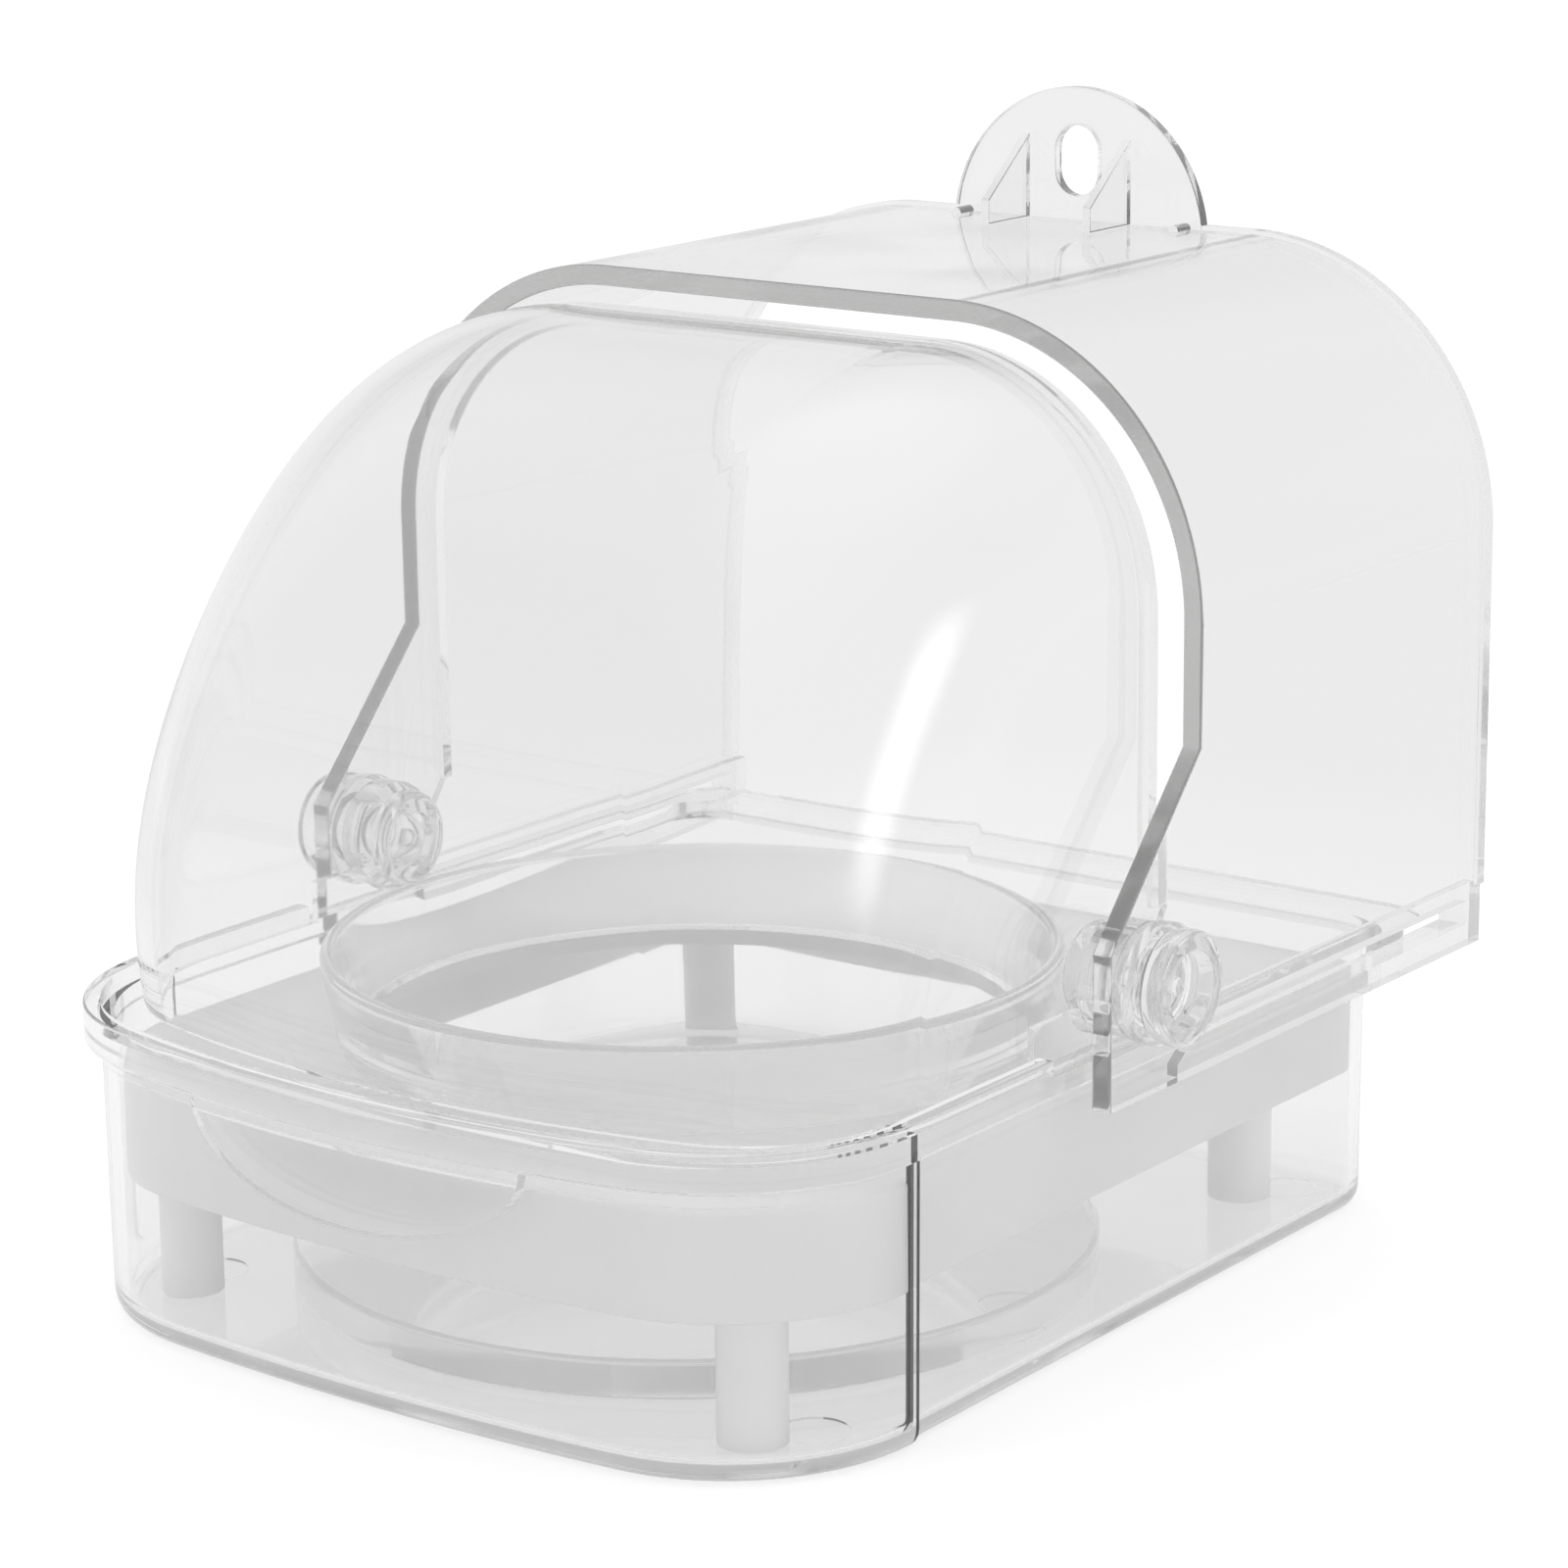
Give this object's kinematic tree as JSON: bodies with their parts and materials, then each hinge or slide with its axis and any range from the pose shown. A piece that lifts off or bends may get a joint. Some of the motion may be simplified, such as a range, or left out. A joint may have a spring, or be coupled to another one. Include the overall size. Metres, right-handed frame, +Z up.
{
  "type": "cage bird feeder",
  "caption": "Clear cage bird feeder: arch hood with hanging tab, flip-up visor on side pivots, sliding flanged tray, frosted shelf insert and lift-out round seed bowl.",
  "frame": {"origin": "on the ground under the middle of the whole feeder's box", "axes": "+X to the right of someone looking at the visor, across the pivots; +Y to the rear, where the hood hangs on the cage; +Z up"},
  "size_m": [0.152, 0.1724, 0.1573],
  "materials": {
    "clear_plastic": "clear, polished",
    "pivot_plastic": "clear, polished",
    "frosted_plastic": "frosted, translucent"
  },
  "bodies": {
    "hood": {"hood": "clear_plastic", "pivot_pin_right": "pivot_plastic", "pivot_pin_left": "pivot_plastic", "pivot_cap_right": "pivot_plastic", "pivot_cap_left": "pivot_plastic"},
    "visor": {"visor": "clear_plastic"},
    "tray": {"tray": "clear_plastic", "shelf_insert": "frosted_plastic", "floor_plate": "clear_plastic"},
    "bowl": {"bowl": "clear_plastic"}
  },
  "joints": [
    {"name": "visor_flip", "type": "hinge", "parent": "hood", "child": "visor", "pos_m": [0, -0.00275, 0.0515], "axis": [-1, 0, 0], "range_deg": [0, 65]},
    {"name": "tray_slide", "type": "slide", "parent": "hood", "child": "tray", "axis": [0, -1, 0], "range_m": [0, 0.006]},
    {"name": "bowl_lift", "type": "slide", "parent": "tray", "child": "bowl", "axis": [0, 0, 1], "range_m": [0, 0.025]}
  ]
}
